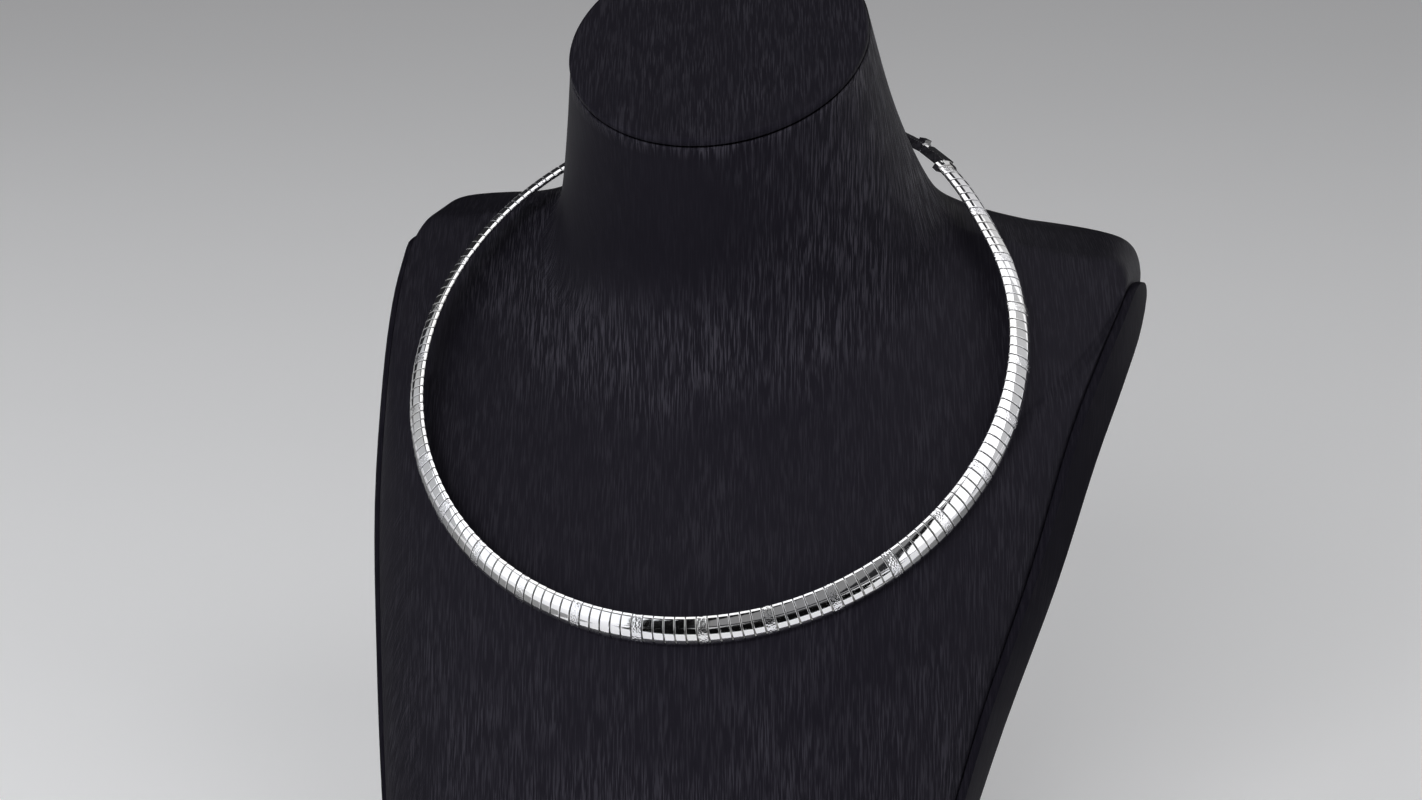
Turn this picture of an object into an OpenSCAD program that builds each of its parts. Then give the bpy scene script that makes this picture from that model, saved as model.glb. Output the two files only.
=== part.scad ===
// Omega necklace of domed silver plates, lying on a plain neck bust.
// Millimetres, +Z up. The bust faces -Y and stands on Z = 0.

/* [Necklace] */
// Length of the closed loop, measured along the middle of the band
loop_length = 406; // [404:1:412]
// Number of equal plate places round the whole loop
plate_places = 184; // [160:4:192]
// Every so many places the plate has a textured face
texture_every = 6; // [4:1:8]
// Width of a plate across the band
plate_width = 6.1; // [5:0.1:6.4]
// Rise of a plate's domed face above its long edges
dome_rise = 1.1; // [0.8:0.05:1.3]
// Depth of a plate's folded sides, from the dome's edge to the lips
side_depth = 0.75; // [0.7:0.05:0.9]
// Thickness of the plates' sheet metal
sheet = 0.3; // [0.2:0.05:0.35]
// Width of the lips that hold a plate on the woven core
lip_width = 0.8; // [0.5:0.1:1.2]
// Thin gap between two plates
plate_gap = 0.22; // [0.16:0.01:0.4]

/* [How the necklace lies] */
// Height of the loop's centre above the foot
loop_height = 120; // [118:0.5:124]
// Distance of the loop's centre behind the middle of the bust
loop_setback = 6.6; // [5:0.1:8]
// Angle by which the loop's front hangs lower than its back
loop_tilt = 41.7; // [41:0.1:43]
// Lean of the band: 0 stands upright on the loop's plane, 90 lies in it
band_lean = 38; // [36:1:40]
// How far the springy ends stand out from the round at the clasp
end_spring = 2.5; // [1:0.1:3]
// Angle round the loop over which each end leaves the round
end_reach = 26; // [18:1:34]

/* [Clasp] */
// Angle of the clasp's middle round the loop, from the front to the right
clasp_angle = 147.8; // [145:0.1:155]
// Length of the clasp's box along the band
box_length = 6.2; // [5:0.1:8]
// Width of the clasp's box
box_width = 4.2; // [3:0.1:5]
// Height of the clasp's box
box_height = 1.9; // [1.6:0.1:2.4]
// Length of the collar that closes each end of the band
collar_length = 1.4; // [1.2:0.1:2]
// How far a collar's rim stands out round the plates
rim_height = 0.35; // [0.2:0.05:0.5]
// Length of the thumb tab on the stem
tab_length = 1.6; // [1:0.1:2.4]
// How far the thumb tab stands up from the stem
tab_rise = 0.9; // [0.5:0.1:1.5]

/* [Bust] */
// Diameter of the neck at its top
neck_diameter = 61.8; // [60:0.1:64]
// Forward slope of the neck's top
neck_slope = 32.6; // [30:0.1:36]
// Height of the middle of the neck's top above the foot
neck_height = 184.3; // [182:0.1:187]
// Distance of the middle of the neck's top behind the middle of the bust
neck_setback = 11.6; // [10:0.1:13]
// Thickness of the round cap on the neck
cap_height = 1.6; // [1:0.1:3]
// Radius of the cap's soft edge
cap_edge = 0.9; // [0.3:0.1:0.9]
// Width of the seam under the cap
cap_seam = 0.3; // [0.2:0.1:0.6]
// Thickness of the covering strips on the sides
panel_height = 1.5; // [1.2:0.1:2.4]

/* [Hidden] */

// Small gap that keeps separate pieces apart
fit = 0.12;

// Columns of the rib table. A rib is a closed line round the bust. On the middle plane it passes through
// a front point and a back point. On each side it passes through an edge point, where the front face turns
// into the side strip, and through a rim point, where the strip turns into the back.
FRONT_Y = 0;
FRONT_Z = 1;
EDGE_Y = 2;
EDGE_Z = 3;
RIM_Y = 4;
RIM_Z = 5;
BACK_Y = 6;
BACK_Z = 7;
EDGE_HALF = 8;
RIM_HALF = 9;
FACE_POWER = 10;
EDGE_POWER = 11;

neck_radius = neck_diameter / 2;
neck_dy = neck_radius * cos(neck_slope);
neck_dz = neck_radius * sin(neck_slope);

// The bust from the neck's top down to the foot, one row for each rib
RIBS = [
    // front y and z, edge y and z, rim y and z, back y and z, half width at edge and at rim, two powers
    [neck_setback - neck_dy, neck_height - neck_dz, neck_setback, neck_height, neck_setback + 0.5,
        neck_height + 0.3, neck_setback + neck_dy, neck_height + neck_dz, neck_radius, neck_radius, 2, 2],
    [-7.4, 150.5, 19.6, 166.5, 20.1, 166.8, 43.9, 180.8, 35.1, 35.1, 2, 2],
    [-2.1, 134.5, 30.6, 151, 31.5, 151.4, 47.9, 163.7, 40.6, 40.6, 2, 2],
    [-3.4, 120, 36.6, 144, 38.6, 145, 54.1, 154, 45.7, 45.7, 2.1, 1.9],
    [-7.8, 111, 39.1, 140.8, 44.6, 141.8, 65.1, 146.3, 56, 56, 2.2, 1.7],
    [-13.6, 103.5, 41.6, 138.2, 55.1, 139.6, 72.6, 140.5, 70, 70, 2.3, 1.5],
    [-20, 96.5, 44.1, 137.3, 59.1, 138.3, 74.6, 138.8, 79, 79.5, 2.4, 1.35],
    [-23.7, 92.6, 42.1, 133.8, 60.6, 132, 75.2, 133.5, 82.1, 83.2, 2.4, 1.3],
    [-26.9, 89.6, 34.9, 129.6, 51.1, 121, 74.1, 124, 81.4, 83.5, 2.4, 1.25],
    [-33.8, 82.6, 22.7, 122, 35.1, 111.5, 72.1, 112, 78.9, 81.8, 2.4, 1.2],
    [-41.3, 72.4, 7.7, 108.4, 21.1, 98, 69.1, 98, 75.1, 78.3, 2.4, 1.2],
    [-49.7, 56, -8.9, 84.9, 6.1, 76.2, 64.1, 76, 70.6, 73.3, 2.4, 1.2],
    [-59.2, 37.5, -24.9, 59, -9.9, 51.2, 59.1, 52, 64.2, 66.1, 2.4, 1.2],
    [-67.9, 17.5, -38.4, 29, -22.9, 23, 53.6, 24, 58.2, 58.9, 2.4, 1.2],
    [-75.2, 0, -49.9, 0, -33.9, 0, 48.1, 0, 51.8, 52, 2.4, 1.2]
];
last_rib = len(RIBS) - 1;
// Power of the bust's rounded back
back_power = 2.4;
// Rings between two ribs, and steps across the front, across a side and across the back
ring_steps = 4;
face_steps = 28;
side_steps = 4;
back_steps = 18;
// Rib at which the side strips start, below the shoulder's corner
panel_start = 7.25;
// Part of the side's depth that is left free along each of the strip's long edges
panel_margin = 0.04;
// Gap under the side strips
panel_gap = 0.2;
// Length of a strip's round top in ribs, its steps, and how far its corners draw in there
panel_round = 0.4;
round_steps = 5;
round_margin = 0.4;

loop_radius = loop_length / (2 * PI);
place_step = 360 / plate_places;
plate_length = loop_length / plate_places - plate_gap;
// The plates are counted from a textured one, which sits just left of the front
first_angle = -0.8;
// Angle that the clasp and its collars take up on each side of the clasp's middle
clasp_reach = 6.6;
last_place = floor((clasp_angle - clasp_reach - first_angle - place_step / 2) / place_step);
first_place = ceil((clasp_angle + clasp_reach - 360 - first_angle + place_step / 2) / place_step);

// Bottom of the box, from the dome's edge
box_base = -0.5;
// Height of the folded tongue, and width of the thumb tab
leaf_space = box_height - 2 * (sheet + fit);
tab_width = 0.7 * box_width;
// Gap between the box's mouth and the stem, and length by which soldered pieces run into each other
mouth_gap = 0.4;
overlap = 0.2;
// Length of the folded tongue, which ends short of the box's closed end
tongue_length = box_length - 1.2;

// Angle that a length along the band takes up near the clasp
function arc_angle(length) = length / (loop_radius + end_spring) * 180 / PI;

// Angles of the band's two ends, where the collars start, and of the middles of the collars
right_end = first_angle + (last_place + 0.5) * place_step;
left_end = first_angle + (first_place - 0.5) * place_step;
right_collar = right_end + arc_angle(collar_length / 2);
left_collar = left_end - arc_angle(collar_length / 2);
// The box follows the right collar. The stem goes from near the box's mouth into the left collar's wall.
box_middle = right_collar + arc_angle((collar_length + box_length) / 2 - sheet);
stem_start = box_middle + arc_angle(box_length / 2 + mouth_gap);
stem_end = left_end + 360 - arc_angle(collar_length - overlap);
stem_middle = (stem_start + stem_end) / 2;
stem_length = (stem_end - stem_start) / arc_angle(1);

half_plate = plate_width / 2;
dome_radius = (half_plate * half_plate + dome_rise * dome_rise) / (2 * dome_rise);

// Point between four rows of a table, t from 0 at row b to 1 at row c
function blend(a, b, c, d, t) =
    0.5 * (2 * b + (c - a) * t + (2 * a - 5 * b + 4 * c - d) * t * t
        + (3 * b - a - 3 * c + d) * t * t * t);

// The rib at any place u between 0, the neck's top, and last_rib, the foot
function rib(u) =
    let (i = min(floor(u), last_rib - 1))
    blend(RIBS[max(i - 1, 0)], RIBS[i], RIBS[i + 1], RIBS[min(i + 2, last_rib)], u - i);

// Points of a rib on the right: its front middle, its front edge, its rim and its back middle
function front_point(r) = [0, r[FRONT_Y], r[FRONT_Z]];
function edge_point(r) = [r[EDGE_HALF], r[EDGE_Y], r[EDGE_Z]];
function rim_point(r) = [r[RIM_HALF], r[RIM_Y], r[RIM_Z]];
function back_point(r) = [0, r[BACK_Y], r[BACK_Z]];

// Point of a rib's right side, t from 0 at the front edge to 1 at the rim
function side_point(r, t) = edge_point(r) + t * (rim_point(r) - edge_point(r));

function mirrored(p) = [-p[0], p[1], p[2]];
function backwards(list) = [for (i = [len(list) - 1:-1:0]) list[i]];

// Point of a curve that leaves a corner square to the side and swings over to a middle point
function swung(corner, middle, across, deep) =
    let (inward = deep * (middle - corner))
    [across * corner[0], corner[1] + inward[1], corner[2] + inward[2]];

// Points of a rib's front, from the left edge to the right edge
function front_points(r) = [
    for (i = [0:face_steps])
        let (across = sin(-90 + 180 * i / face_steps))
        let (deep = pow(max(1 - pow(abs(across), r[FACE_POWER]), 0), 1 / r[EDGE_POWER]))
        swung(edge_point(r), front_point(r), across, deep)
];

// Points of a rib's back, from the right rim to the left rim
function back_points(r) = [
    for (i = [0:back_steps])
        let (across = sin(90 - 180 * i / back_steps))
        let (deep = pow(max(1 - pow(abs(across), back_power), 0), 0.5))
        swung(rim_point(r), back_point(r), across, deep)
];

// Points of a rib's right side, between its front edge and its rim
function side_points(r) = [for (i = [1:side_steps - 1]) side_point(r, i / side_steps)];

function rib_points(r) = concat(
    front_points(r),
    side_points(r),
    back_points(r),
    [for (p = backwards(side_points(r))) mirrored(p)]
);

// A closed skin over rings of points that all have the same number of points, with both ends closed
module skin(rings) {
    count = len(rings[0]);
    total = len(rings);
    ends = [
        for (ring = [rings[0], rings[total - 1]])
            [for (axis = [0:2]) [for (p = ring) 1] * [for (p = ring) p[axis]] / count]
    ];
    walls = [
        for (k = [0:total - 2])
            for (i = [0:count - 1])
                let (j = (i + 1) % count)
                each [
                    [k * count + i, k * count + j, (k + 1) * count + j],
                    [k * count + i, (k + 1) * count + j, (k + 1) * count + i]
                ]
    ];
    caps = [
        for (i = [0:count - 1])
            let (j = (i + 1) % count)
            each [
                [j, i, total * count],
                [(total - 1) * count + i, (total - 1) * count + j, total * count + 1]
            ]
    ];
    polyhedron(points = concat([for (ring = rings) each ring], ends), faces = concat(walls, caps));
}

// The bust: one covered form from the neck's top to the flat foot
module bust_body() {
    color([0.11, 0.11, 0.12])
        skin([for (k = [0:last_rib * ring_steps]) rib_points(rib(k / ring_steps))]);
}

// The round cap that closes the neck, with a soft edge
module neck_cap() {
    color([0.13, 0.13, 0.14])
        translate([0, neck_setback, neck_height])
            rotate([neck_slope, 0, 0])
                translate([0, 0, cap_seam])
                    rotate_extrude($fn = 96)
                        union() {
                            square([neck_radius - cap_edge, cap_height]);
                            square([neck_radius, cap_height - cap_edge]);
                            translate([neck_radius - cap_edge, cap_height - cap_edge])
                                intersection() {
                                    circle(cap_edge, $fn = 48);
                                    square(cap_edge);
                                }
                        }
}

// Section of the right side strip at rib r, with a margin from the side's two edges
function panel_section(r, margin) =
    let (start = side_point(r, margin))
    let (end = side_point(r, 1 - margin))
    let (soft = panel_height * 0.6 * (end - start) / norm(end - start))
    let (under = [panel_gap, 0, 0])
    let (shoulder = [panel_gap + panel_height * 0.6, 0, 0])
    let (outer = [panel_gap + panel_height, 0, 0])
    [
        start + under,
        start + shoulder,
        start + outer + soft,
        end + outer - soft,
        end + shoulder,
        end + under
    ];

// Rings of the strip's round top, then rings down to the foot
panel_top_rings = [
    for (i = [0:round_steps - 1])
        let (turn = 90 * i / round_steps)
        panel_section(rib(panel_start + panel_round * (1 - cos(turn))),
            panel_margin + (round_margin - panel_margin) * (1 - sin(turn)))
];
panel_long_rings = [
    for (k = [ceil((panel_start + panel_round) * ring_steps):last_rib * ring_steps])
        panel_section(rib(k / ring_steps), panel_margin)
];

// A covering strip down one side of the bust, on the side given by side (-1 left, 1 right)
module side_panel(side) {
    rings = concat(panel_top_rings, panel_long_rings);
    color([0.10, 0.10, 0.11])
        skin(side > 0 ? rings : [for (ring = rings) [for (p = backwards(ring)) mirrored(p)]]);
}

// How far an angle lies from the clasp, the short way round
function from_clasp(angle) = let (turn = abs((angle - clasp_angle) % 360)) min(turn, 360 - turn);

// Radius of the loop's plan at an angle from the front
function plan_radius(angle) =
    let (d = from_clasp(angle))
    loop_radius + (d < end_reach ? end_spring * pow(cos(90 * d / end_reach), 2) : 0);

function plan_point(angle) = plan_radius(angle) * [sin(angle), -cos(angle)];

// Direction of the loop at an angle, as an angle in the loop's plane
function heading(angle) =
    let (way = plan_point(angle + 0.5) - plan_point(angle - 0.5))
    atan2(way[1], way[0]);

// Puts the children on the bust as the loop lies
module on_bust() {
    translate([0, loop_setback, loop_height])
        rotate([loop_tilt, 0, 0])
            children();
}

// Puts the children on the loop at an angle: X along the band, -Y to its outer edge, Z out of its face
module on_loop(angle) {
    translate(concat(plan_point(angle), [0]))
        rotate([0, 0, heading(angle)])
            rotate([90 - band_lean, 0, 0])
                children();
}

// Extrudes a section drawn across the band, centred along it
module along_band(length) {
    rotate([90, 0, 90])
        translate([0, 0, -length / 2])
            linear_extrude(length)
                children();
}

// Outline of the band's section, grown by a margin
module band_outline(margin) {
    intersection() {
        translate([0, dome_rise - dome_radius])
            circle(dome_radius + margin, $fn = 96);
        translate([-half_plate - margin, -side_depth - margin])
            square([plate_width + 2 * margin, dome_rise + side_depth + 2 * margin]);
    }
}

// A plate: a domed sheet whose long sides fold under, into two lips
module plate() {
    along_band(plate_length)
        difference() {
            band_outline(0);
            band_outline(-sheet);
            translate([-half_plate + sheet + lip_width, -side_depth - fit])
                square([plate_width - 2 * (sheet + lip_width), sheet + 2 * fit]);
        }
}

module plates(textured) {
    for (k = [first_place:last_place])
        if ((k % texture_every == 0) == textured)
            on_loop(first_angle + k * place_step)
                plate();
}

module plain_plates() {
    color([0.80, 0.80, 0.82])
        on_bust()
            plates(false);
}

module textured_plates() {
    color([0.92, 0.92, 0.95])
        on_bust()
            plates(true);
}

// Point of the woven core's section at an angle round the loop, across the band and up from the dome's edge
function core_point(angle, across, up) =
    let (outward = [sin(heading(angle)), -cos(heading(angle))])
    let (out = up * cos(band_lean) - across * sin(band_lean))
    let (rise = up * sin(band_lean) + across * cos(band_lean))
    concat(plan_point(angle) + out * outward, [rise]);

// Section of the woven core: a low arch that clears the plates' insides all round
core_half = half_plate - sheet - 2 * fit;
core_base = -side_depth + sheet + fit;
core_side = core_base + 0.25;
core_crown = dome_rise - sheet - fit;
core_flank = 0.62 * core_crown;
CORE_SECTION = [
    // across, up
    [-core_half, core_base],
    [-core_half, core_side],
    [-core_half / 2, core_flank],
    [0, core_crown],
    [core_half / 2, core_flank],
    [core_half, core_side],
    [core_half, core_base]
];
core_rings = 128;

// The flat woven band inside the plates, one strip from collar to collar
module mesh_core() {
    color([0.62, 0.62, 0.64])
        on_bust()
            skin([
                for (k = [0:core_rings])
                    let (angle = left_collar + (right_collar - left_collar) * k / core_rings)
                    [for (p = CORE_SECTION) core_point(angle, p[0], p[1])]
            ]);
}

// Collar round the end of the band: a rim, a hollow that takes the core, and a wall on the clasp's side
module collar(way) {
    difference() {
        along_band(collar_length)
            band_outline(rim_height);
        translate([-way * sheet, 0, 0])
            along_band(collar_length)
                band_outline(-sheet);
    }
}

// Section of the clasp's box, grown by a margin
module box_outline(margin) {
    translate([-box_width / 2 - margin, box_base - margin])
        square([box_width + 2 * margin, box_height + 2 * margin]);
}

// Sheet metal tube of the clasp's box, closed at the collar
module box() {
    difference() {
        along_band(box_length)
            box_outline(0);
        translate([sheet, 0, 0])
            along_band(box_length)
                box_outline(-sheet);
    }
}

// Side view of the folded tongue: two leaves joined by a round fold at its tip
module tongue_fold() {
    outer = leaf_space / 2;
    difference() {
        union() {
            circle(outer, $fn = 48);
            translate([0, -outer])
                square([tongue_length, 2 * outer]);
        }
        circle(outer - sheet, $fn = 48);
        translate([0, sheet - outer])
            square([tongue_length + fit, 2 * (outer - sheet)]);
    }
}

// The tongue inside the box, as wide as the box allows
module tongue() {
    width = box_width - 2 * (sheet + fit);
    translate([box_length / 2 - tongue_length + mouth_gap + overlap, 0, box_base + box_height / 2])
        rotate([90, 0, 0])
            translate([0, 0, -width / 2])
                linear_extrude(width)
                    tongue_fold();
}

// The stem outside the box, with the thumb tab beside the box's mouth
module stem() {
    along_band(stem_length)
        box_outline(0);
    translate([-stem_length / 2, -tab_width / 2, box_base + box_height - overlap])
        cube([tab_length, tab_width, tab_rise + overlap]);
}

// The collar at the plates' right end with the clasp's open box
module clasp_box() {
    color([0.75, 0.75, 0.77])
        on_bust() {
            on_loop(right_collar)
                collar(1);
            on_loop(box_middle)
                box();
        }
}

// The collar at the other end with the stem and its folded tongue
module clasp_tongue() {
    color([0.85, 0.85, 0.87])
        on_bust() {
            on_loop(left_collar)
                collar(-1);
            on_loop(stem_middle)
                stem();
            on_loop(box_middle)
                tongue();
        }
}

bust_body();
neck_cap();
side_panel(-1);  // side_panel_left
side_panel(1);  // side_panel_right
mesh_core();
plain_plates();
textured_plates();
clasp_box();
clasp_tongue();
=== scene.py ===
# %% [markdown]
# # An omega necklace on its neck bust
# An omega necklace is a springy collar. Narrow domed plates of polished silver sit side by side on a flat
# woven band of wire, each with its edges folded under the band, so that the collar bends but never hangs
# limp. The solid model already gives every piece its place and size. This file gives the pieces their soft
# edges, grain, weave and polish, one step at a time, in metres and in the solid model's own frame.

import math
import random
from collections import namedtuple

import bmesh
import bpy
from mathutils import Matrix, Vector


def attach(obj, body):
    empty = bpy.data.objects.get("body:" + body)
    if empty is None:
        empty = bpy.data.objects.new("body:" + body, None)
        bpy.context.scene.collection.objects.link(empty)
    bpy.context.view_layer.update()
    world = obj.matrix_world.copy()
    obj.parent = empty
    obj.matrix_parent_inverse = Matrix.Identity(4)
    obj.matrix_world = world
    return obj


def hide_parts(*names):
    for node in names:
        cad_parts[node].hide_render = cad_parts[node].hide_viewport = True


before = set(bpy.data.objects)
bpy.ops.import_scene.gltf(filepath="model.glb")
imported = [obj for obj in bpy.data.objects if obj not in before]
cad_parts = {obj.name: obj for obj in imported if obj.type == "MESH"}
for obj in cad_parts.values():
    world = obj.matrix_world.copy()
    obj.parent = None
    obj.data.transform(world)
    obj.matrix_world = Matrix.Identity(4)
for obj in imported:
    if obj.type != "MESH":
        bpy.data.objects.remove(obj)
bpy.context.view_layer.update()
MM = 0.001
print("solid model:", sorted(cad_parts))

# %% [markdown]
# ## Helpers for pieces
# Every finished piece is one mesh that rides on the bust. A node of the solid model comes as loose
# triangles, so a copy of it is welded first. Edges that are meant to stay crisp are marked by their angle,
# and all others are shaded smooth. A mesh made of quads can be rounded further by a subdivision surface.

# %% Turn a bmesh into a piece
def make_piece(name, bm, finish, stands_for, sharp_above=40):
    mesh = bpy.data.meshes.new(name)
    bm.to_mesh(mesh)
    bm.free()
    mesh.shade_smooth()
    mesh.set_sharp_from_angle(angle=math.radians(sharp_above))
    mesh.materials.append(finish)
    piece = bpy.data.objects.new(name, mesh)
    bpy.context.scene.collection.objects.link(piece)
    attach(piece, "root")
    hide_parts(stands_for)
    print(name, len(mesh.polygons), "faces")
    return piece


# %% Weld a copy of a solid
WELD_REACH = 0.002 * MM
QUAD_LIMIT = math.radians(60)


def welded_copy(node):
    bm = bmesh.new()
    bm.from_mesh(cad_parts[node].data)
    bmesh.ops.remove_doubles(bm, verts=bm.verts, dist=WELD_REACH)
    return bm


def join_into_quads(bm):
    bmesh.ops.join_triangles(
        bm, faces=bm.faces, angle_face_threshold=QUAD_LIMIT, angle_shape_threshold=QUAD_LIMIT)


def soften(piece, levels):
    modifier = piece.modifiers.new("soft form", "SUBSURF")
    modifier.levels = levels
    modifier.render_levels = levels


# %% [markdown]
# ## Helpers for finishes
# All finishes are built from nodes. These helpers start a material and add a node with its inputs set, so
# that each finish below reads as a short list of what it is made of. A ramp is written as four numbers: a low
# and a high value, and what they turn into.

# %% Start a material and add nodes
NOISE_ROUGHNESS = 0.55


def new_finish(name):
    finish = bpy.data.materials.new(name)
    finish.use_nodes = True
    return finish, finish.node_tree.nodes["Principled BSDF"]


def give(finish, target, value):
    """Sets a socket to a value, or links it to another node's output."""
    if isinstance(value, bpy.types.NodeSocket):
        finish.node_tree.links.new(value, target)
    else:
        target.default_value = value


def add_node(finish, kind, inputs, **settings):
    node = finish.node_tree.nodes.new(kind)
    for key, value in settings.items():
        setattr(node, key, value)
    for key, value in inputs.items():
        give(finish, node.inputs[key], value)
    return node


def source_of(finish, name):
    return add_node(finish, "ShaderNodeTexCoord", {}).outputs[name]


def stretched(finish, source, size, turn=(0, 0, 0)):
    """Coordinates that are turned, then measured in steps of a size along each axis."""
    return add_node(finish, "ShaderNodeMapping", {
        "Vector": source, "Scale": size, "Rotation": turn}, vector_type="TEXTURE").outputs["Vector"]


def noise(finish, vector, detail):
    return add_node(finish, "ShaderNodeTexNoise", {
        "Vector": vector, "Scale": 1.0, "Detail": detail, "Roughness": NOISE_ROUGHNESS}).outputs["Fac"]


def remap(finish, value, low, high, to_low, to_high):
    """A ramp: to_low up to the value low, to_high from the value high on, and even steps between."""
    return add_node(finish, "ShaderNodeMapRange", {
        "Value": value, "From Min": low, "From Max": high,
        "To Min": to_low, "To Max": to_high}).outputs["Result"]


def mix_colours(finish, factor, first, second):
    """Several sockets of a Mix node share a name, so the colours go in and out by number."""
    node = add_node(finish, "ShaderNodeMix", {}, data_type="RGBA")
    give(finish, node.inputs[0], factor)
    give(finish, node.inputs[6], first)
    give(finish, node.inputs[7], second)
    return node.outputs[2]


def combine(finish, operation, first, second):
    return add_node(
        finish, "ShaderNodeMath", {0: first, 1: second}, operation=operation).outputs["Value"]


def raise_surface(finish, shader, height, distance):
    bump = add_node(finish, "ShaderNodeBump", {
        "Strength": 1.0, "Distance": distance, "Height": height})
    give(finish, shader.inputs["Normal"], bump.outputs["Normal"])


# %% [markdown]
# ## The leatherette
# The bust is covered in black leatherette, embossed with fine creases that run down the form. Each crease
# could be modelled, but there are thousands, and a noise that is much narrower one way than the others gives
# the same short broken lines. The grain is turned a little about the upright axis, as the sheet was laid a
# little askew. A narrow noise smears where a face looks along it, so those faces take a second noise, narrow
# the other way, and the surface's own normal blends the two.

# %% The grain
GRAIN_WIDTH = 0.27 * MM
GRAIN_LENGTH = 5.5 * MM
GRAIN_TURN = math.radians(16)
SECOND_GRAIN = (0.62, 0.86, 0, 1)  # from how squarely a face looks along the first grain


def dot(finish, vector, direction):
    return add_node(finish, "ShaderNodeVectorMath", {
        0: vector, 1: direction}, operation="DOT_PRODUCT").outputs["Value"]


def grain_noise(finish, source):
    """Narrow creases, with a second set for the faces that look along the first."""
    across = (math.cos(GRAIN_TURN), math.sin(GRAIN_TURN), 0)
    facing = combine(finish, "ABSOLUTE", dot(finish, source_of(finish, "Normal"), across), 0)
    first, second = [
        noise(finish, stretched(finish, source, size, (0, 0, GRAIN_TURN)), detail=2)
        for size in ((GRAIN_WIDTH, GRAIN_LENGTH, GRAIN_LENGTH), (GRAIN_LENGTH, GRAIN_WIDTH, GRAIN_LENGTH))
    ]
    return add_node(finish, "ShaderNodeMix", {
        0: remap(finish, facing, *SECOND_GRAIN), 2: first, 3: second}).outputs[0]


print("creases: %.2f mm wide, %.1f mm long" % (GRAIN_WIDTH / MM, GRAIN_LENGTH / MM))

# %% [markdown]
# ## Where the cover is creased, and the painted sheen on the flare
# The cover was pulled tight over the neck, so it is nearly smooth there. It creases in a ring round the
# neck's flare and where it is gathered under the seam, and a little again low on the chest. Where this mask
# is strong the ridges are also paler, and round the flare that paleness is a painted sheen of the lamps.
# Painting such a mask by hand needs a picture, so ramps make it: the distance from the middle of the flare
# and the height along the neck say where a point lies, and each ramp turns one of them into a strength.

# %% Creases and the painted sheen
FLARE_MIDDLE = (-12 * MM, 18 * MM, 165 * MM)
NECK_TOP = Vector((0, 11.6 * MM, 184.3 * MM))
NECK_SLOPE = math.radians(32.6)
NECK_AXIS = Vector((0, -math.sin(NECK_SLOPE), math.cos(NECK_SLOPE)))
SEAM_REACH = 3 * MM
SEAM_STRENGTH = 1.2
# Each ramp is two distances from the flare's middle and the strengths at them.
FLARE_BEGINS = (34 * MM, 46 * MM, 0.10, 1.2)
FLARE_ENDS = (50 * MM, 66 * MM, 1.2, 0.30)
CHEST_BEGINS = (108 * MM, 150 * MM, 0, 0.45)


def creases_and_sheen(finish, source):
    """How much the cover is creased at a point, which also sets how much sheen is painted on its ridges."""
    away = add_node(finish, "ShaderNodeVectorMath", {
        0: source, 1: FLARE_MIDDLE}, operation="DISTANCE").outputs["Value"]
    # Painted sheen: this ring makes the ridges paler round the flare, standing in for the lamps' sheen there.
    flare = combine(
        finish, "MINIMUM", remap(finish, away, *FLARE_BEGINS), remap(finish, away, *FLARE_ENDS))
    chest = remap(finish, away, *CHEST_BEGINS)
    seam_height = NECK_TOP.dot(NECK_AXIS)
    seam = remap(finish, dot(finish, source, NECK_AXIS),
                 seam_height - SEAM_REACH, seam_height, 0, SEAM_STRENGTH)
    return combine(finish, "ADD", combine(finish, "ADD", flare, chest), seam)


# %% [markdown]
# ## The leatherette's colour and shine
# The ridges of the grain are smoother than its hollows, and paler: the paler colour is a painted glint of the
# lamps on the crests. The embossing came out deeper in some patches than in others, so a broad noise makes it
# uneven. The cover takes its creases and its painted sheen from the ramps above. The cap and the side strips
# are stretched over boards, so their grain has one even strength, and the strips are the dullest.

# %% Leatherette
DARK_GRAIN = (0.0078, 0.0071, 0.0108, 1)
# Painted glint: the ridges' paler colour stands in for light catching the crests.
RIDGE_GLINT_COLOUR = (0.0360, 0.0340, 0.0440, 1)
LEATHER_TINT = (0.88, 0.84, 1.0, 1)
HOLLOW_ROUGHNESS = 0.52
RIDGE_ROUGHNESS = 0.30
PATCH_SIZE = (9 * MM, 14 * MM, 14 * MM)
PATCH_STRENGTH = (0.35, 0.65, 0.5, 1.2)
RIDGES = (0.48, 0.62, 0, 1)


def leatherette(name, grain_height, shine, even_strength=None):
    finish, shader = new_finish(name)
    source = source_of(finish, "Object")
    grain = grain_noise(finish, source)
    depth = creases_and_sheen(finish, source) if even_strength is None else even_strength
    patches = noise(finish, stretched(finish, source, PATCH_SIZE), detail=2)
    uneven = combine(finish, "MULTIPLY", depth, remap(finish, patches, *PATCH_STRENGTH))
    # Painted glint and sheen: the ridges turn paler where the mask is strong. Their lower roughness is real.
    strength = combine(finish, "MULTIPLY", remap(finish, grain, *RIDGES), uneven)
    give(finish, shader.inputs["Base Color"], mix_colours(finish, strength, DARK_GRAIN, RIDGE_GLINT_COLOUR))
    give(finish, shader.inputs["Roughness"],
         remap(finish, strength, 0, 1, HOLLOW_ROUGHNESS, RIDGE_ROUGHNESS))
    raise_surface(finish, shader, combine(finish, "MULTIPLY", grain, uneven), grain_height)
    shader.inputs["Specular IOR Level"].default_value = shine
    shader.inputs["Specular Tint"].default_value = LEATHER_TINT
    return finish


cover_finish = leatherette("cover leatherette", grain_height=0.30 * MM, shine=0.09)
cap_finish = leatherette("cap leatherette", grain_height=0.12 * MM, shine=0.05, even_strength=0.45)
strip_finish = leatherette("strip leatherette", grain_height=0.12 * MM, shine=0.015, even_strength=0.2)
print("leatherette finishes: cover, cap and strips")

# %% [markdown]
# ## The bust's cover
# The cover could be drawn afresh, but the solid bust already has its form, so the cover is a copy of it,
# welded and joined into quads, and a subdivision surface rounds it. The edges of the foot and of the neck's
# top are creased to keep their outlines. Under the cap the cover is tucked in, so the neck's top face is set
# in and pushed down, which makes the seam a deep black line.

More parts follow.
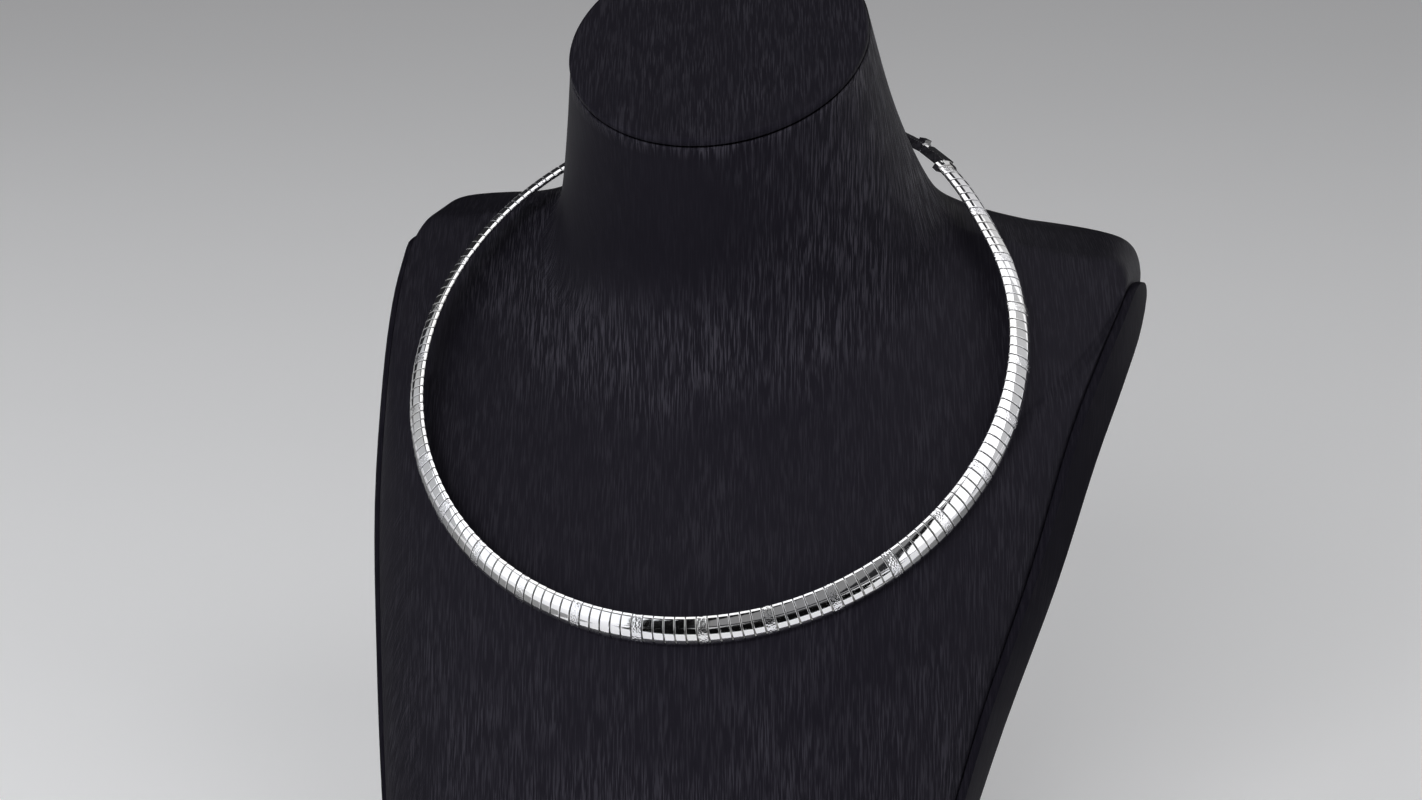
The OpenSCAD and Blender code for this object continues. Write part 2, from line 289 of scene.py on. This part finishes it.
# %% Crease the ends, tuck the cover in and smooth the rest
TUCK_WIDTH = 0.5 * MM
TUCK_DEPTH = 0.9 * MM
FLAT_LIMIT = 0.05 * MM
cover = welded_copy("bust_body")
join_into_quads(cover)
crease = cover.edges.layers.float.new("crease_edge")
flat_ends = {
    end: [f for f in cover.faces if abs((f.calc_center_median() - point).dot(axis)) < FLAT_LIMIT]
    for end, point, axis in (
        ("foot", Vector((0, 0, 0)), Vector((0, 0, 1))), ("neck", NECK_TOP, NECK_AXIS))
}
flat_faces = set(flat_ends["foot"] + flat_ends["neck"])
for edge in cover.edges:
    if sum(f in flat_faces for f in edge.link_faces) == 1:
        edge[crease] = 1
bmesh.ops.inset_region(cover, faces=flat_ends["neck"], thickness=TUCK_WIDTH, depth=-TUCK_DEPTH)
print("flat faces:", {end: len(faces) for end, faces in flat_ends.items()})
bust_cover = make_piece("bust_cover", cover, cover_finish, "bust_body", sharp_above=180)
soften(bust_cover, levels=2)

# %% [markdown]
# ## The neck's cap
# The neck is closed by a round board under the same leatherette, with a soft rolled rim. Its half section
# is drawn as a short line and a quarter round, and spun once about the neck's axis, because a spin makes a
# true round. The rim stands 0.3 mm off the neck, which leaves the dark seam.

# %% Spin the cap
NECK_RADIUS = 30.9 * MM
CAP_HEIGHT = 1.6 * MM
CAP_ROLL = 0.9 * MM
CAP_SEAM = 0.3 * MM
RIM_FOOT = 0.51 * MM
RINGS_BELOW = (0.5, 0.85)
RINGS_ABOVE = (0.9, 0.6, 0.3, 0)
ROLL_STEPS = 6
ROUND_STEPS = 120


def extended(bm, vert, place):
    """Draws an edge from a vertex to a new place."""
    new = bmesh.ops.extrude_vert_indiv(bm, verts=[vert])["verts"][0]
    new.co = place
    return new


def spun_cap():
    bm = bmesh.new()
    vert = bm.verts.new((0, 0, CAP_SEAM))
    for across in RINGS_BELOW:
        vert = extended(bm, vert, (NECK_RADIUS * across, 0, CAP_SEAM))
    vert = extended(bm, vert, (NECK_RADIUS - CAP_SEAM, 0, CAP_SEAM))
    vert = extended(bm, vert, (NECK_RADIUS, 0, RIM_FOOT))
    roll_base = CAP_SEAM + CAP_HEIGHT - CAP_ROLL
    for step in range(ROLL_STEPS + 1):
        turn = math.radians(90) * step / ROLL_STEPS
        vert = extended(bm, vert, (NECK_RADIUS - CAP_ROLL + CAP_ROLL * math.cos(turn), 0,
                                   roll_base + CAP_ROLL * math.sin(turn)))
    for across in RINGS_ABOVE:
        vert = extended(bm, vert, (NECK_RADIUS * across, 0, CAP_SEAM + CAP_HEIGHT))
    bmesh.ops.spin(bm, geom=bm.verts[:] + bm.edges[:], cent=(0, 0, 0), axis=(0, 0, 1),
                   angle=math.radians(360), steps=ROUND_STEPS, use_merge=True)
    bmesh.ops.remove_doubles(bm, verts=bm.verts, dist=WELD_REACH)
    bmesh.ops.recalc_face_normals(bm, faces=bm.faces)
    place = Matrix.Translation(NECK_TOP) @ Matrix.Rotation(NECK_SLOPE, 4, "X")
    bmesh.ops.transform(bm, matrix=place, verts=bm.verts)
    return bm


make_piece("neck_cap_cover", spun_cap(), cap_finish, "neck_cap")

# %% [markdown]
# ## The side strips
# A strip covers each side of the bust where the front cover and the back cover meet. It is a thin board
# under leatherette, so its edges are gently rounded. A subdivision surface would round the whole strip, so
# only its corners are bevelled, which rounds them by a set amount and leaves the middle flat.

# %% Round the strips
STRIP_ROUND = 0.45 * MM
STRIP_CORNER = math.radians(25)
for side in ("left", "right"):
    strip = welded_copy("side_panel_" + side)
    join_into_quads(strip)
    corners = [e for e in strip.edges if e.calc_face_angle(0) > STRIP_CORNER]
    bmesh.ops.bevel(strip, geom=corners, offset=STRIP_ROUND, offset_type="OFFSET", segments=3,
                    profile=0.5, affect="EDGES", material=-1, clamp_overlap=True)
    make_piece("side_strip_" + side, strip, strip_finish, "side_panel_" + side,
               sharp_above=60)

# %% [markdown]
# ## Where each plate lies
# The loop is a circle in a tilted plane, which springs out a little at the clasp because the ends of an
# omega necklace try to open. These are the same named sizes as in the solid model. The matrix for an angle
# round the loop puts X along the band, Y across it towards the neck, and Z out of the polished face.

# %% The loop
# Angles round the loop are degrees from the front, and positive towards the clasp.
LOOP_LENGTH = 406 * MM
LOOP_RADIUS = LOOP_LENGTH / (2 * math.pi)
LOOP_SETBACK = 6.6 * MM
LOOP_HEIGHT = 120 * MM
LOOP_TILT = math.radians(41.7)
BAND_LEAN = math.radians(38)
CLASP_ANGLE = 147.8
END_SPRING = 2.5 * MM
END_REACH = 26
PLATE_PLACES = 184
PLACE_STEP = 360 / PLATE_PLACES
FIRST_ANGLE = -0.8
FIRST_PLACE = -104
LAST_PLACE = 72
TEXTURE_EVERY = 6


def plan_point(angle):
    """The point of the loop at an angle from the front, in the loop's own plane."""
    turn = abs(angle - CLASP_ANGLE) % 360
    away = min(turn, 360 - turn)
    spring = END_SPRING * math.cos(math.radians(90 * away / END_REACH)) ** 2 if away < END_REACH else 0
    radius = LOOP_RADIUS + spring
    return Vector((radius * math.sin(math.radians(angle)), -radius * math.cos(math.radians(angle)), 0))


def loop_matrix(angle):
    way = plan_point(angle + 0.5) - plan_point(angle - 0.5)
    return (
        Matrix.Translation((0, LOOP_SETBACK, LOOP_HEIGHT))
        @ Matrix.Rotation(LOOP_TILT, 4, "X")
        @ Matrix.Translation(plan_point(angle))
        @ Matrix.Rotation(math.atan2(way.y, way.x), 4, "Z")
        @ Matrix.Rotation(math.radians(90) - BAND_LEAN, 4, "X")
    )


print("pitch of the plates: %.2f mm" % (LOOP_LENGTH / PLATE_PLACES / MM))

# %% [markdown]
# ## Polished silver
# Polished silver is a mirror, so what it shows is the room. Two things keep it from looking like chrome: a
# haze of hair-fine polishing marks, which roughens the reflection unevenly, and a hint of warmth where the
# metal has dulled. The sparkling plates are cut all over with tiny slanted facets. Modelled facets would take
# thousands of faces, and a cell pattern raised into pyramids gives the same glitter.

# %% Silver finishes
BRIGHT_SILVER = (0.95, 0.95, 0.97, 1)
CUT_SILVER = (0.95, 0.95, 0.98, 1)
DULLED_SILVER = (0.86, 0.85, 0.82, 1)
DULLING = (0.45, 0.75, 0, 1)
DULL_PATCH = 14 * MM
HAZE_PATCH = 0.9 * MM
HAZE_HEIGHT = 0.0025 * MM
POLISHED_ROUGHNESS = (0.3, 0.7, 0.05, 0.11)
CUT_ROUGHNESS = (0.3, 0.7, 0.14, 0.24)
CUT_FACET = 0.42 * MM
CUT_HEIGHT = 0.06 * MM


def silver(name, tint, cut_height=0.0):
    finish, shader = new_finish(name)
    source = source_of(finish, "Object")
    haze = noise(finish, stretched(finish, source, (HAZE_PATCH,) * 3), detail=3)
    dulled = noise(finish, stretched(finish, source, (DULL_PATCH,) * 3), detail=2)
    give(finish, shader.inputs["Base Color"], mix_colours(
        finish, remap(finish, dulled, *DULLING), tint, DULLED_SILVER))
    shader.inputs["Metallic"].default_value = 1.0
    if cut_height:
        cells = add_node(finish, "ShaderNodeTexVoronoi", {
            "Vector": stretched(finish, source, (CUT_FACET,) * 3), "Scale": 1.0})
        raise_surface(finish, shader, cells.outputs["Distance"], cut_height)
        give(finish, shader.inputs["Roughness"], remap(finish, haze, *CUT_ROUGHNESS))
    else:
        give(finish, shader.inputs["Roughness"], remap(finish, haze, *POLISHED_ROUGHNESS))
        raise_surface(finish, shader, haze, HAZE_HEIGHT)
    return finish


polished = silver("polished silver", BRIGHT_SILVER)
cut_silver = silver("cut silver", CUT_SILVER, CUT_HEIGHT)
print("silver finishes: polished and cut")

# %% [markdown]
# ## One plate
# A plate starts as a single point that is spun over the dome. The line goes on down the folded sides and
# in under the band, and is then drawn out to the plate's length, given the metal's thickness and bevelled.
# A bent grid would give the dome too, but not the fold. The fine bevels matter more than anything else here:
# each catches its own strip of light, and that is what draws one plate apart from the next.

# %% Shape the plate
PLATE_WIDTH = 6.1 * MM
PLATE_LENGTH = LOOP_LENGTH / PLATE_PLACES - 0.22 * MM
DOME_RISE = 1.1 * MM
DOME_STEPS = 8
SIDE_DEPTH = 0.75 * MM
SHEET = 0.3 * MM
LIP_WIDTH = 0.8 * MM
END_BEVEL = 0.15 * MM
EDGE_BEVEL = 0.28 * MM
SLACK = 0.01 * MM
FOLD_ANGLE = math.radians(30)
END_ANGLE = math.radians(60)
UPWARD = 0.3


def plate_shape():
    """A plate lying along X, with its dome upwards and its sides folded under."""
    bm = bmesh.new()
    half = PLATE_WIDTH / 2
    dome_radius = (half ** 2 + DOME_RISE ** 2) / (2 * DOME_RISE)
    start = bm.verts.new((-PLATE_LENGTH / 2, half, 0))
    dome = bmesh.ops.spin(bm, geom=[start], cent=(0, 0, DOME_RISE - dome_radius), axis=(1, 0, 0),
                          angle=2 * math.asin(half / dome_radius), steps=DOME_STEPS)
    end = [g for g in dome["geom_last"] if isinstance(g, bmesh.types.BMVert)][0]
    for side, vert in ((1, start), (-1, end)):
        foot = extended(bm, vert, (vert.co.x, side * half, -SIDE_DEPTH))
        extended(bm, foot, (foot.co.x, side * (half - SHEET - LIP_WIDTH), -SIDE_DEPTH))
    drawn = bmesh.ops.extrude_edge_only(bm, edges=bm.edges[:])
    moved = [g for g in drawn["geom"] if isinstance(g, bmesh.types.BMVert)]
    bmesh.ops.translate(bm, vec=(PLATE_LENGTH, 0, 0), verts=moved)
    bmesh.ops.recalc_face_normals(bm, faces=bm.faces)
    top = max(bm.faces, key=lambda f: f.calc_center_median().z)
    if top.normal.z < 0:
        bmesh.ops.reverse_faces(bm, faces=bm.faces)
    bmesh.ops.solidify(bm, geom=bm.faces[:], thickness=SHEET)
    return bm


def bevel_plate(bm):
    """Bevels the plate's ends finely and its long edges more broadly, on the outside only."""
    limit = PLATE_LENGTH / 2 - SLACK
    half = PLATE_WIDTH / 2
    outside = {
        v for v in bm.verts
        if abs(abs(v.co.y) - half) < SLACK or v.co.z > DOME_RISE * (1 - (v.co.y / half) ** 2) - SLACK
    }
    long_edges = [
        e for e in bm.edges
        if abs(e.verts[0].co.x - e.verts[1].co.x) > limit and all(v in outside for v in e.verts)
        and e.calc_face_angle(0) > FOLD_ANGLE
    ]
    bmesh.ops.bevel(bm, geom=long_edges, offset=EDGE_BEVEL, offset_type="OFFSET", segments=1,
                    profile=0.5, affect="EDGES", material=-1, clamp_overlap=True)
    ends = [
        e for e in bm.edges
        if all(abs(v.co.x) > limit for v in e.verts) and e.calc_face_angle(0) > END_ANGLE
        and sum(f.normal.z > UPWARD for f in e.link_faces) == 1
    ]
    bmesh.ops.bevel(bm, geom=ends, offset=END_BEVEL, offset_type="OFFSET", segments=2,
                    profile=0.5, affect="EDGES", material=-1, clamp_overlap=True)


plate_bm = plate_shape()
bevel_plate(plate_bm)
plate_mesh = bpy.data.meshes.new("plate master")
plate_bm.to_mesh(plate_mesh)
plate_bm.free()
print("one plate:", len(plate_mesh.polygons), "faces")

# %% [markdown]
# ## The row of plates
# Each place round the loop takes a copy of the plate, which an array modifier can't do as well, because the
# band leans and springs as it goes round. Real plates never sit perfectly in line, so each is turned by a
# fraction of a degree with a fixed seed. On a mirror that is enough to make neighbours differ.

# %% Thread the plates
ROCK = math.radians(0.5)
jitter = random.Random(7)


def threaded(places):
    """A copy of the plate at each of these places round the loop."""
    bm = bmesh.new()
    for place in places:
        before = len(bm.verts)
        bm.from_mesh(plate_mesh)
        bm.verts.ensure_lookup_table()
        rock = (Matrix.Rotation(jitter.uniform(-ROCK, ROCK), 4, "Y")
                @ Matrix.Rotation(jitter.uniform(-ROCK, ROCK), 4, "X"))
        bmesh.ops.transform(
            bm, matrix=loop_matrix(FIRST_ANGLE + place * PLACE_STEP) @ rock, verts=bm.verts[before:])
    return bm


all_places = range(FIRST_PLACE, LAST_PLACE + 1)
plain = make_piece("polished_plates", threaded([p for p in all_places if p % TEXTURE_EVERY]),
                   polished, "plain_plates", sharp_above=60)
cut = make_piece("cut_plates", threaded([p for p in all_places if p % TEXTURE_EVERY == 0]),
                 cut_silver, "textured_plates", sharp_above=60)
for row in (plain, cut):
    row.modifiers.new("even shading", "WEIGHTED_NORMAL").keep_sharp = True
bpy.data.meshes.remove(plate_mesh)

# %% [markdown]
# ## The woven core
# The band inside the plates is woven from fine silver wire, and shows at the gaps and from behind. The weave
# is too fine to model thread by thread, so it is drawn as a height on a UV map in metres, with U along the
# band and V across it: two sets of ribs that take turns on a checkerboard, which is a plain basket weave.

# %% Weave finish
WIRE = 0.16 * MM
WEAVE = 0.64 * MM
WIRE_HEIGHT = 0.08 * MM
WAVES_PER_UNIT = 20  # the Wave node's own factor
WIRE_HOLLOW = (0.30, 0.29, 0.27, 1)
WIRE_TOP = (0.80, 0.79, 0.77, 1)
TARNISH_PATCH = 3 * MM
TARNISH_ROUGHNESS = (0.3, 0.7, 0.26, 0.44)


def woven_wire():
    finish, shader = new_finish("woven silver wire")
    source = source_of(finish, "UV")
    squares = add_node(finish, "ShaderNodeTexChecker", {
        "Vector": source, "Scale": 1 / WEAVE})
    ribs = [
        add_node(finish, "ShaderNodeTexWave", {
            "Vector": source, "Scale": 1 / (WIRE * WAVES_PER_UNIT)}, bands_direction=way).outputs["Fac"]
        for way in ("X", "Y")
    ]
    height = mix_colours(finish, squares.outputs["Fac"], ribs[0], ribs[1])
    give(finish, shader.inputs["Base Color"], mix_colours(finish, height, WIRE_HOLLOW, WIRE_TOP))
    shader.inputs["Metallic"].default_value = 1.0
    tarnish = noise(finish, stretched(finish, source, (TARNISH_PATCH,) * 3), detail=2)
    give(finish, shader.inputs["Roughness"], remap(finish, tarnish, *TARNISH_ROUGHNESS))
    raise_surface(finish, shader, height, WIRE_HEIGHT)
    return finish


# %% Lay the weave on the core
def map_weave(bm):
    """U is the length along the loop and V the place across the band."""
    loop_plane = Matrix.Translation((0, LOOP_SETBACK, LOOP_HEIGHT)) @ Matrix.Rotation(LOOP_TILT, 4, "X")
    back = loop_plane.inverted()
    layer = bm.loops.layers.uv.new("weave")
    for face in bm.faces:
        middle = back @ face.calc_center_median()
        heading = math.atan2(middle.x, -middle.y)
        for loop in face.loops:
            flat = back @ loop.vert.co
            turn = math.remainder(math.atan2(flat.x, -flat.y) - heading, 2 * math.pi)
            loop[layer].uv = ((heading + turn) * LOOP_RADIUS, flat.z + (flat.xy.length - LOOP_RADIUS))


core = welded_copy("mesh_core")
join_into_quads(core)
map_weave(core)
make_piece("woven_core", core, woven_wire(), "mesh_core")

# %% [markdown]
# ## The clasp
# A box soldered to one end takes a springy tongue from the other. Both are small pieces of polished sheet,
# and at this size a bevel on every edge is what reads as metal, because each edge draws a bright line. Their
# faces are merged where they are flat, so that the bevel runs along real edges only.

# %% Polish the clasp
CLASP_BEVEL = 0.1 * MM
CLASP_FLAT = math.radians(2)
CLASP_CORNER = math.radians(35)
for node in ("clasp_box", "clasp_tongue"):
    clasp = welded_copy(node)
    bmesh.ops.dissolve_limit(clasp, angle_limit=CLASP_FLAT, verts=clasp.verts, edges=clasp.edges)
    piece = make_piece(node + "_polished", clasp, polished, node, sharp_above=30)
    bevel = piece.modifiers.new("worn edges", "BEVEL")
    bevel.width = CLASP_BEVEL
    bevel.segments = 2
    bevel.limit_method = "ANGLE"
    bevel.angle_limit = CLASP_CORNER

# %% [markdown]
# ## The table
# The bust stands on a plain pale table. It is a light table, lit a little from inside, so it stays pale
# although the lamps are set for the necklace. A flat grid is all that it needs.

# %% Table
MIDDLE = Vector((0, LOOP_SETBACK, LOOP_HEIGHT))
TABLE_SIDE = 6.0
TABLE_DROP = 0.2 * MM
TABLE_GLOW = 0.34
TABLE_GLOW_COLOUR = (0.80, 0.80, 0.81, 1)
TABLE_TONES = (0.76, 0.76, 0.77, 1), (0.82, 0.82, 0.83, 1)
TABLE_PATCH = 0.2
TABLE_ROUGHNESS = 0.8
TABLE_SHINE = 0.1


def stage_grid(name, matrix, width, depth, finish):
    bm = bmesh.new()
    bmesh.ops.create_grid(bm, x_segments=1, y_segments=1, size=0.5)
    bmesh.ops.scale(bm, vec=(width, depth, 1), verts=bm.verts)
    bmesh.ops.transform(bm, matrix=matrix, verts=bm.verts)
    mesh = bpy.data.meshes.new(name)
    bm.to_mesh(mesh)
    bm.free()
    mesh.materials.append(finish)
    card = bpy.data.objects.new(name, mesh)
    bpy.context.scene.collection.objects.link(card)
    return card


def pale_table():
    finish, shader = new_finish("pale table")
    tone = noise(finish, stretched(finish, source_of(finish, "Object"), (TABLE_PATCH,) * 3), detail=2)
    give(finish, shader.inputs["Base Color"], mix_colours(finish, tone, *TABLE_TONES))
    shader.inputs["Roughness"].default_value = TABLE_ROUGHNESS
    shader.inputs["Emission Color"].default_value = TABLE_GLOW_COLOUR
    shader.inputs["Emission Strength"].default_value = TABLE_GLOW
    shader.inputs["Specular IOR Level"].default_value = TABLE_SHINE
    return finish


stage_grid("floor", Matrix.Translation((0, 0, -TABLE_DROP)), TABLE_SIDE, TABLE_SIDE, pale_table())
print("table: %.0f m square" % TABLE_SIDE)

# %% [markdown]
# ## The lights
# Silver is lit by what it reflects. A softbox on each side gives the broad white bands, a weaker fill beside
# each gives the grey of the plates further back, one behind lights the rear, and one overhead draws the
# white line along the upper edges. A dim card at the front makes the plates there grey. The black
# leatherette needs light of another kind, so a small bright key light serves it alone and doesn't show in
# the silver, and the lamps that would wash out its sides and cap show in gloss alone. Each lamp's place is an
# azimuth, counted from the front to the right, an elevation and a distance from the loop's middle.

# %% Lights
Softbox = namedtuple("Softbox", "name azimuth elevation distance width height radiance colour serves")
WHITE = (1, 1, 1)
COOL = (0.96, 0.98, 1.0)
FAINTLY_COOL = (0.97, 0.985, 1.0)
SOFTBOXES = [
    Softbox("left softbox", -40.5, 19, 1.2, 1.04, 1.20, 1.15, COOL, "all"),
    Softbox("left fill", -84, 18, 1.2, 0.95, 1.10, 0.45, FAINTLY_COOL, "all"),
    Softbox("right softbox", 68, 30, 1.2, 0.88, 2.00, 1.20, WHITE, "all"),
    Softbox("right fill", 113, 24, 1.2, 1.15, 1.50, 0.50, WHITE, "gloss"),
    Softbox("back softbox", 150, 22, 1.2, 0.70, 1.30, 0.60, WHITE, "gloss"),
    Softbox("overhead softbox", 6, 88, 1.6, 2.20, 1.35, 1.25, WHITE, "gloss"),
    Softbox("front key light", -6, 29, 0.85, 0.50, 0.40, 5.40, WHITE, "matt"),
    Softbox("front card light", 15, 31, 1.3, 0.86, 1.45, 0.20, WHITE, "all"),
]


def toward(azimuth, elevation):
    """The direction at an azimuth, counted from the front to the right, and an elevation, in degrees."""
    a = math.radians(azimuth)
    e = math.radians(elevation)
    return Vector((math.sin(a) * math.cos(e), -math.cos(a) * math.cos(e), math.sin(e)))


def hang(light):
    """Hangs a softbox that faces the loop. Its energy follows from its size and its radiance."""
    lamp = bpy.data.lights.new(light.name, "AREA")
    lamp.shape = "RECTANGLE"
    lamp.size = light.width
    lamp.size_y = light.height
    lamp.energy = light.radiance * math.pi * light.width * light.height
    lamp.color = light.colour
    holder = bpy.data.objects.new(light.name, lamp)
    way = toward(light.azimuth, light.elevation)
    holder.location = MIDDLE + way * light.distance
    holder.rotation_euler = way.to_track_quat("Z", "Y").to_euler()
    holder.visible_camera = False
    holder.visible_diffuse = light.serves != "gloss"
    holder.visible_glossy = light.serves != "matt"
    bpy.context.scene.collection.objects.link(holder)


for row in SOFTBOXES:
    hang(row)
print("softboxes:", len(SOFTBOXES))

# %% [markdown]
# ## Flags and mats
# What is dark in the silver matters as much as what is bright. A black flag between the left softbox and
# the front makes the black plates, and a small one on the right draws the black corners where the grey
# plates end. Black mats on the table draw the line under the plates' middle, a dark grey one behind them
# keeps the far table out of the grey plates, and a shade on each side keeps the lower edges from being as
# white as the table. All are cards that only show in reflections, as if they stood outside the picture.

# %% Flags and mats
Flag = namedtuple("Flag", "name azimuth elevation distance width height")
FLAGS = [
    Flag("left flag", -11.5, 22, 1.0, 0.22, 1.75),
    Flag("right flag", 45, 40, 1.0, 0.10, 0.60),
]
Mat = namedtuple("Mat", "name left_near right_near depth tone")
BLACK = 0.004
MATS = [
    Mat("near flag mat", (-0.072, -0.192), (0.060, -0.218), 0.34, BLACK),
    Mat("far flag mat", (-0.190, -0.500), (0.050, -0.548), 1.40, BLACK),
    Mat("black mat", (-0.045, -0.186), (0.170, -0.096), 0.40, BLACK),
    Mat("black side mat", (0.105, -0.120), (0.330, -0.150), 0.45, BLACK),
    Mat("black runner", (-0.100, -0.230), (0.040, -0.190), 2.20, BLACK),
    Mat("grey mat", (0.010, -0.520), (0.700, -0.300), 0.80, 0.10),
    Mat("left shade mat", (-0.085, 0.260), (-0.085, -0.150), 0.45, 0.42),
    Mat("right shade mat", (0.120, -0.040), (0.120, 0.350), 0.30, 0.36),
]
MAT_HEIGHT = 0.3 * MM
CARD_ROUGHNESS = 0.9


def hidden_card(name, matrix, width, depth, tone):
    """A matt card that only shows in reflections."""
    finish, shader = new_finish(name)
    shader.inputs["Base Color"].default_value = (tone, tone, tone, 1)
    shader.inputs["Roughness"].default_value = CARD_ROUGHNESS
    shader.inputs["Specular IOR Level"].default_value = 0.0
    card = stage_grid(name, matrix, width, depth, finish)
    card.visible_camera = False
    card.visible_diffuse = False
    card.visible_shadow = False
    card.visible_transmission = False


for row in FLAGS:
    way = toward(row.azimuth, row.elevation)
    place = Matrix.Translation(MIDDLE + way * row.distance)
    hidden_card(row.name, place @ way.to_track_quat("Z", "Y").to_matrix().to_4x4(),
                row.width, row.height, BLACK)

# %% Lay the mats
for row in MATS:
    near = Vector(row.right_near) - Vector(row.left_near)
    outward = Vector((near.y, -near.x)).normalized()
    middle = (Vector(row.left_near) + Vector(row.right_near) + outward * row.depth) / 2
    place = Matrix.Translation((middle.x, middle.y, MAT_HEIGHT))
    hidden_card(row.name, place @ Matrix.Rotation(math.atan2(near.y, near.x), 4, "Z"),
                near.length, row.depth, row.tone)
print("flags:", len(FLAGS), "mats:", len(MATS))

# %% A dark room round the table
ROOM_COLOUR = (0.02, 0.02, 0.022, 1)
room = bpy.data.worlds.new("dark studio")
room.use_nodes = True
room.node_tree.nodes["Background"].inputs["Color"].default_value = ROOM_COLOUR
bpy.context.scene.world = room

# %% [markdown]
# ## The camera
# The camera was fitted to the photograph from the loop and the neck's top: a 56 mm lens just under half a
# metre away, looking down by 17 degrees from a little to the right of the front.

# %% Camera
CAMERA_AZIMUTH = 16.44
CAMERA_ELEVATION = 16.94
CAMERA_DISTANCE = 463.05 * MM
CAMERA_LENS = 55.70
AIM_RIGHT = -0.16 * MM
AIM_UP = -9.59 * MM

away = toward(CAMERA_AZIMUTH, CAMERA_ELEVATION)
right = Vector((math.cos(math.radians(CAMERA_AZIMUTH)), math.sin(math.radians(CAMERA_AZIMUTH)), 0))
up = away.cross(right)
camera = bpy.data.objects.new("camera", bpy.data.cameras.new("camera"))
camera.data.lens = CAMERA_LENS
camera.matrix_world = (
    Matrix.Translation(MIDDLE + away * CAMERA_DISTANCE + right * AIM_RIGHT + up * AIM_UP)
    @ Matrix((right, up, away)).transposed().to_4x4()
)
bpy.context.scene.collection.objects.link(camera)
bpy.context.scene.camera = camera
bpy.context.scene.view_settings.view_transform = "Standard"
print("camera: %.2f m from the loop" % CAMERA_DISTANCE)
